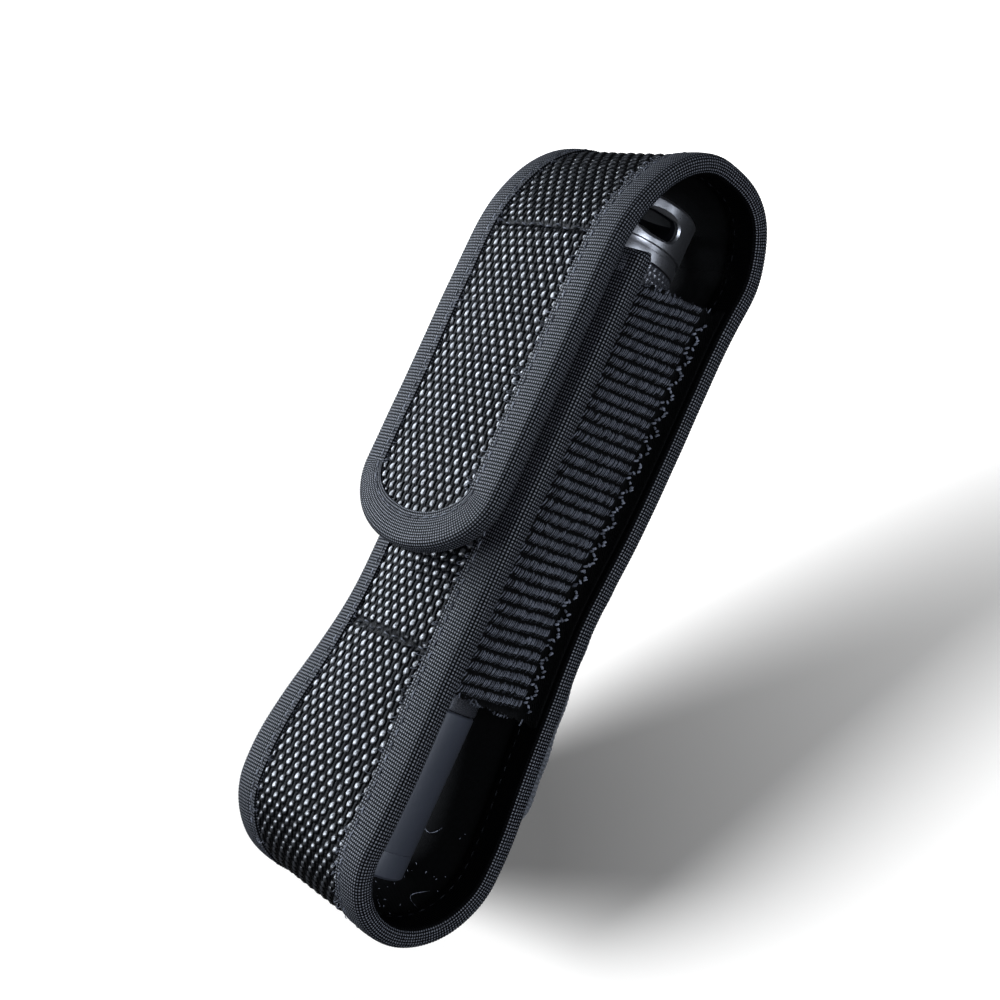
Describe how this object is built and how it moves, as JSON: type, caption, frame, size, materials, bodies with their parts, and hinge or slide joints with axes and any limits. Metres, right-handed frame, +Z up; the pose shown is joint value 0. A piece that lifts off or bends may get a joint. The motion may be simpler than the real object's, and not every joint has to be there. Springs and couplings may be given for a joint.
{
  "type": "tactical flashlight in a duty pouch",
  "caption": "Straight-bodied tactical flashlight carried bezel down in a padded black nylon duty pouch with elastic sides, belt loop and hinged closing flap.",
  "frame": {"origin": "centre of the belt line on the flat outer face of the belt loop, where the pouch lies against the wearer", "axes": "+Z up along the pouch and the light, towards the light's tail; +Y out of the back, towards the wearer; +X to the wearer's side, across the panel's width"},
  "size_m": [0.05, 0.0539, 0.1855],
  "materials": {
    "cover": "coarse black ballistic nylon with a slight sheen",
    "tape": "ribbed dark grey-blue binding tape",
    "lining": "matt black lining",
    "board": "hidden stiffening sheet",
    "elastic": "ribbed heavy elastic, matt",
    "webbing": "coarse black webbing",
    "pile": "loop pile",
    "hooks": "hook tape",
    "black_metal": "matt black hard anodising",
    "gun_metal": "satin grey anodising",
    "mirror": "vacuum-coated reflector",
    "glass": "clear lens",
    "rubber": "matt black rubber",
    "plastic": "black moulding",
    "circuit": "green circuit board",
    "phosphor": "yellow LED phosphor",
    "brass": "turned brass",
    "spring_steel": "bright wire",
    "cell_wrap": "plain wrapped cell"
  },
  "bodies": {
    "pouch": {"outer_cover": "cover", "stiffener_board": "board", "lining": "lining", "edge_binding_left": "tape", "edge_binding_right": "tape", "mouth_binding": "tape", "elastic_left": "elastic", "elastic_right": "elastic", "loop_patch": "pile", "belt_loop": "webbing"},
    "flap": {"flap_cover": "cover", "flap_stiffener": "board", "flap_lining": "lining", "flap_binding": "tape", "hook_patch": "hooks"},
    "light": {"body_tube": "black_metal", "head_o_ring": "rubber", "tail_o_ring": "rubber", "battery_1": "cell_wrap", "battery_2": "cell_wrap", "battery_3": "cell_wrap"},
    "head": {"head_housing": "black_metal", "bezel_ring": "black_metal", "front_lens": "glass", "lens_gasket": "rubber", "reflector": "mirror", "led_emitter": "phosphor", "led_board": "circuit", "heat_sink": "brass", "driver_board": "circuit", "contact_spring": "brass"},
    "tailcap": {"tailcap_shell": "gun_metal", "switch_housing": "plastic", "switch_board": "circuit", "tail_spring": "spring_steel"},
    "button": {"button_boot": "rubber", "switch_plunger": "plastic"}
  },
  "joints": [
    {"name": "flap_hinge", "type": "hinge", "parent": "pouch", "child": "flap", "pos_m": [0, -0.0065, 0.07], "axis": [-1, 0, 0], "range_deg": [0, 140]},
    {"name": "light_slide", "type": "slide", "parent": "pouch", "child": "light", "axis": [0, 0, 1], "range_m": [0, 0.0015]},
    {"name": "head_turn", "type": "hinge", "parent": "light", "child": "head", "pos_m": [0, -0.0258, -0.0795], "axis": [0, 0, 1], "range_deg": [0, 90]},
    {"name": "tailcap_turn", "type": "hinge", "parent": "light", "child": "tailcap", "pos_m": [0, -0.0258, 0.07], "axis": [0, 0, 1], "range_deg": [0, 90]},
    {"name": "button_press", "type": "slide", "parent": "tailcap", "child": "button", "axis": [0, 0, -1], "range_m": [0, 0.0012], "stiffness_N_per_m": 300, "springref_m": -0.001}
  ]
}
